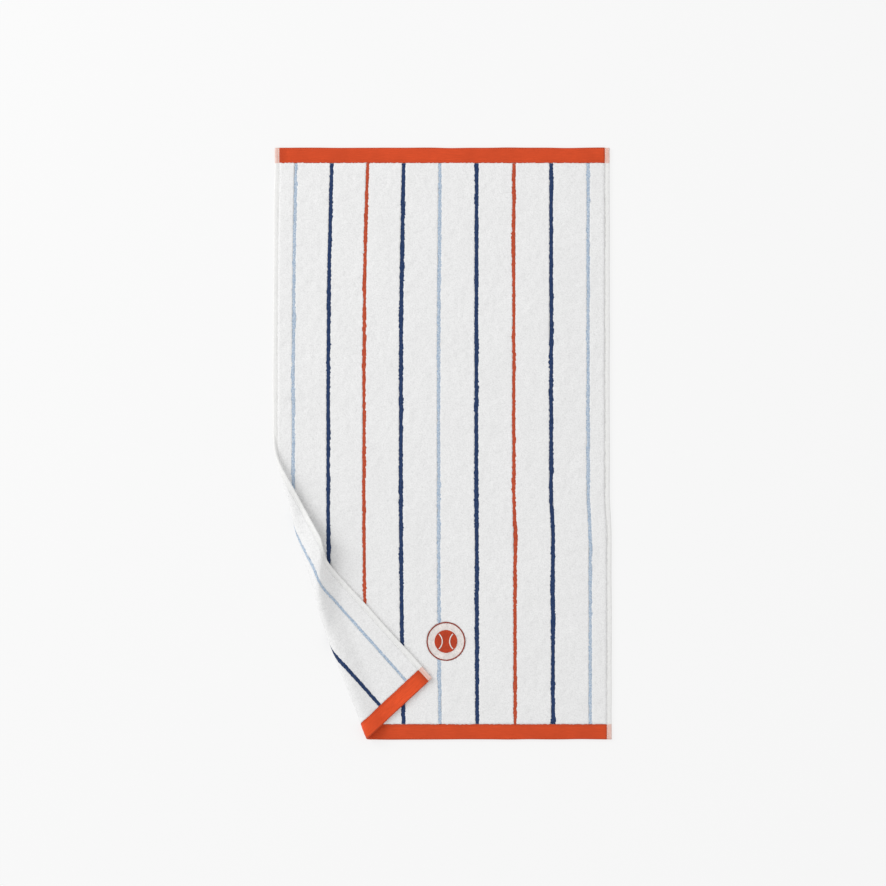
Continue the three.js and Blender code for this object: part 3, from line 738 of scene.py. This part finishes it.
def build_seams():
    """The rows of stitching: each a hem, whether it runs across, its reach, place and thread."""
    end_at = HEM_INNER_LENGTH + END_STITCH_AT
    side_at = HEM_INNER_WIDTH + SIDE_STITCH_AT
    rows = (
        ("top_hem", True, PILE_HALF_WIDTH - 0.5, end_at, "orange_thread"),
        ("bottom_hem", True, PILE_HALF_WIDTH - 0.5, -end_at, "orange_thread"),
        ("left_side_hem", False, HALF_LENGTH - 1, -side_at, "white_thread"),
        ("right_side_hem", False, HALF_LENGTH - 1, side_at, "white_thread"),
    )
    pieces = []
    for hem, over_u, reach, at, thread in rows:
        points, faces, flat = seam_threads(reach, over_u, at)
        node = f"{hem}_stitching"
        pieces.append(make_piece(f"{node}_thread", points, faces, flat, MATERIALS[thread], node))
    return pieces


# ---------------------------------------------------------------- emblem

GROUND_TOP = 4.4
RAISED_TOP = 5.1  # of the ring and the disc
SEAM_TOP = 5.8
RING_WIDTH = 1.8
RING_STITCHES = 330
DISC_RADIUS = 17.0
SEAM_RADIUS = 15.0  # of the arc that each of the ball's seams follows
SEAM_WIDTH = 1.7
SEAM_HALF_ANGLE = 0.82
SEAM_CENTRE = 20.5  # from the emblem's centre to that arc's
SEAM_STITCHES = 48
ROW_PITCH = 0.62  # between the rows of stitches that fill a shape
FILL_STITCH = 4.2  # their length
THREAD_RADIUS = 0.36


def on_emblem(points):
    """Millimetres from the emblem's centre, and height, into the frame."""
    points = np.asarray(points, float)
    return (points + np.array([EMBLEM_X, EMBLEM_Y, 0]) + FRAME_SHIFT) * MM


def fill_rows(stretches, low, high, height):
    """Rows of stitches across a shape that covers the stretches of x that stretches(y) gives."""
    starts, ends = [], []
    for i, y in enumerate(np.arange(low, high, ROW_PITCH)):
        for begin, finish in stretches(y):
            if finish - begin < 0.5:
                continue
            cuts = np.arange(begin - (i % 3) * FILL_STITCH / 3, finish, FILL_STITCH)
            marks = np.clip(np.append(cuts, finish), begin, finish)
            for a, b in zip(marks[:-1], marks[1:]):
                if b - a > 0.4:
                    wobble = rng.normal() * 0.04
                    starts.append([a - 0.1, y + wobble, height])
                    ends.append([b + 0.1, y - wobble, height])
    return threads(starts, ends, THREAD_RADIUS, 0.55, 0.12, on_emblem)


def base_disc(inner, outer, low, high, sides=96):
    """A round or ring-shaped base under the stitches."""
    angles = np.arange(sides) * 2 * math.pi / sides
    rim = [[outer - 0.4, low], [outer, (low + high) / 2], [outer - 0.5, high]]
    section = np.array([*rim, [inner, high], [inner, low]])
    points = np.stack(
        [
            section[:, 0][:, None] * np.cos(angles),
            section[:, 0][:, None] * np.sin(angles),
            section[:, 1][:, None] + 0 * angles,
        ],
        -1,
    )
    index = np.arange(points.shape[0] * sides).reshape(points.shape[0], sides)
    index = np.hstack([index, index[:, :1]])
    flat = points.reshape(-1, 3)
    return on_emblem(flat), grid_faces(index, closed_rows=True), flat[:, :2]


def half_chord(radius, y):
    return math.sqrt(max(0.0, radius**2 - y * y))


def ground_rows(y):
    outer = half_chord(EMBLEM_RADIUS - RING_WIDTH + 0.3, y)
    inner = half_chord(DISC_RADIUS - 0.6, y)
    return [(-outer, outer)] if inner < 0.5 else [(-outer, -inner), (inner, outer)]


def disc_rows(y):
    half = half_chord(DISC_RADIUS, y)
    return [(-half, half)]


def spokes(angles, inner, outer, height):
    """Starts and ends of stitches that run straight out across a ring or an arc."""
    outwards = np.stack([np.cos(angles), np.sin(angles)], -1)
    level = np.full((len(angles), 1), height)
    return np.hstack([outwards * inner, level]), np.hstack([outwards * outer, level])


def build_round_pieces():
    """The emblem's ground, ring and disc, each a base with stitches on it."""
    reach = EMBLEM_RADIUS - RING_WIDTH
    angles = np.arange(RING_STITCHES) * 2 * math.pi / RING_STITCHES
    starts, ends = spokes(angles, reach, EMBLEM_RADIUS + 0.05, RAISED_TOP - 0.35)
    ends[:, :2] += rng.normal(size=(RING_STITCHES, 2)) * 0.07
    ground = [
        base_disc(0.05, EMBLEM_RADIUS - 0.2, 2.9, GROUND_TOP - 0.3),
        fill_rows(ground_rows, -reach, reach, GROUND_TOP - 0.25),
    ]
    ring = [
        base_disc(reach, EMBLEM_RADIUS, 3.6, RAISED_TOP - 0.45, 128),
        threads(starts, ends, 0.33, 0.6, 0.28, on_emblem),
    ]
    disc = [
        base_disc(0.05, DISC_RADIUS - 0.1, 4.0, RAISED_TOP - 0.35),
        fill_rows(disc_rows, -DISC_RADIUS + 0.2, DISC_RADIUS, RAISED_TOP - 0.3),
    ]
    pieces = []
    for node, parts, material, slot in (
        ("emblem_ground", ground, "emblem_pale", "emblem_pale"),
        ("emblem_ring", ring, "emblem_dark", "emblem_red"),
        ("emblem_disc", disc, "emblem_red", "emblem_red"),
    ):
        points, faces, flat = joined(parts)
        name = f"{node}_stitches"
        pieces.append(make_piece(name, points, faces, flat, MATERIALS[material], node))
    return pieces


def build_ball_seam(name, side):
    """One of the two curved seams of the ball, on the left or right of the disc."""
    towards = 0.0 if side < 0 else math.pi  # the way its arc bulges
    angles = np.linspace(towards - SEAM_HALF_ANGLE, towards + SEAM_HALF_ANGLE, SEAM_STITCHES)
    half = SEAM_WIDTH / 2
    starts, ends = spokes(angles, SEAM_RADIUS - half, SEAM_RADIUS + half, SEAM_TOP - 0.5)
    shift = np.array([side * SEAM_CENTRE, 0.0, 0.0])
    points, faces, flat = threads(starts + shift, ends + shift, STITCH_RADIUS, 0.7, 0.25, on_emblem)
    material = MATERIALS["emblem_pale"]
    return make_piece(f"{name}_stitches", points, faces, flat, material, name)


def build_emblem():
    seams = (("emblem_seam_left", -1), ("emblem_seam_right", 1))
    return build_round_pieces() + [build_ball_seam(name, side) for name, side in seams]


# ---------------------------------------------------------------- the towel

terry = build_terry()
stripes = [build_stripe(*stripe) for stripe in STRIPES]
end_hems = [build_end_hem("top_hem", 1), build_end_hem("bottom_hem", -1)]
side_hems = [build_side_hem("left_side_hem", -1), build_side_hem("right_side_hem", 1)]
seams = build_seams()
emblem = build_emblem()

# ---------------------------------------------------------------- floor, light and camera

FLOOR_REACH = 12.0
FLOOR_TONE = 0.22
FLOOR_GLOW = 0.72  # the floor lights itself in part, so that it stays nearly white
SKY_STRENGTH = 0.797
KEY_LIGHT_PLACE = (-3.2, 1.7, 2.25)
KEY_LIGHT_SIZE = 2.5
KEY_LIGHT_POWER = 71.5
CAMERA_HEIGHT = 5.0
SENSOR_WIDTH = 36.0
VIEW_WIDTH = 1.3226  # what the camera sees across, on the floor
VIEW_CENTRE = (0.0016, 0.0011)


def build_floor():
    mesh = bpy.data.meshes.new("floor")
    r = FLOOR_REACH
    mesh.from_pydata([(-r, -r, 0), (r, -r, 0), (r, r, 0), (-r, r, 0)], [], [(0, 1, 2, 3)])
    material = bpy.data.materials.new("floor_pale")
    material.use_nodes = True
    surface = material.node_tree.nodes["Principled BSDF"]
    surface.inputs["Base Color"].default_value = (FLOOR_TONE, FLOOR_TONE, FLOOR_TONE, 1)
    surface.inputs["Roughness"].default_value = 1.0
    surface.inputs["Specular IOR Level"].default_value = 0.0
    surface.inputs["Emission Color"].default_value = (1, 1, 1, 1)
    surface.inputs["Emission Strength"].default_value = FLOOR_GLOW
    mesh.materials.append(material)
    floor = bpy.data.objects.new("floor", mesh)
    bpy.context.scene.collection.objects.link(floor)


def build_world():
    world = bpy.data.worlds.new("studio")
    world.use_nodes = True
    background = world.node_tree.nodes["Background"]
    background.inputs["Color"].default_value = (1, 1, 1, 1)
    background.inputs["Strength"].default_value = SKY_STRENGTH
    bpy.context.scene.world = world


def add_area_light(name, place, size, power):
    """A round soft light that faces the middle of the towel."""
    data = bpy.data.lights.new(name, "AREA")
    data.shape = "DISK"
    data.size = size
    data.energy = power
    light = bpy.data.objects.new(name, data)
    light.location = place
    light.rotation_euler = (-Vector(place)).to_track_quat("-Z", "Y").to_euler()
    bpy.context.scene.collection.objects.link(light)


def add_camera():
    data = bpy.data.cameras.new("camera")
    data.sensor_width = SENSOR_WIDTH
    data.lens = SENSOR_WIDTH * CAMERA_HEIGHT / VIEW_WIDTH
    data.clip_end = 50.0
    camera = bpy.data.objects.new("camera", data)
    camera.location = (*VIEW_CENTRE, CAMERA_HEIGHT)
    bpy.context.scene.collection.objects.link(camera)
    bpy.context.scene.camera = camera


build_floor()
build_world()
add_area_light("key_light", KEY_LIGHT_PLACE, KEY_LIGHT_SIZE, KEY_LIGHT_POWER)
add_camera()
bpy.context.scene.view_settings.view_transform = "Standard"
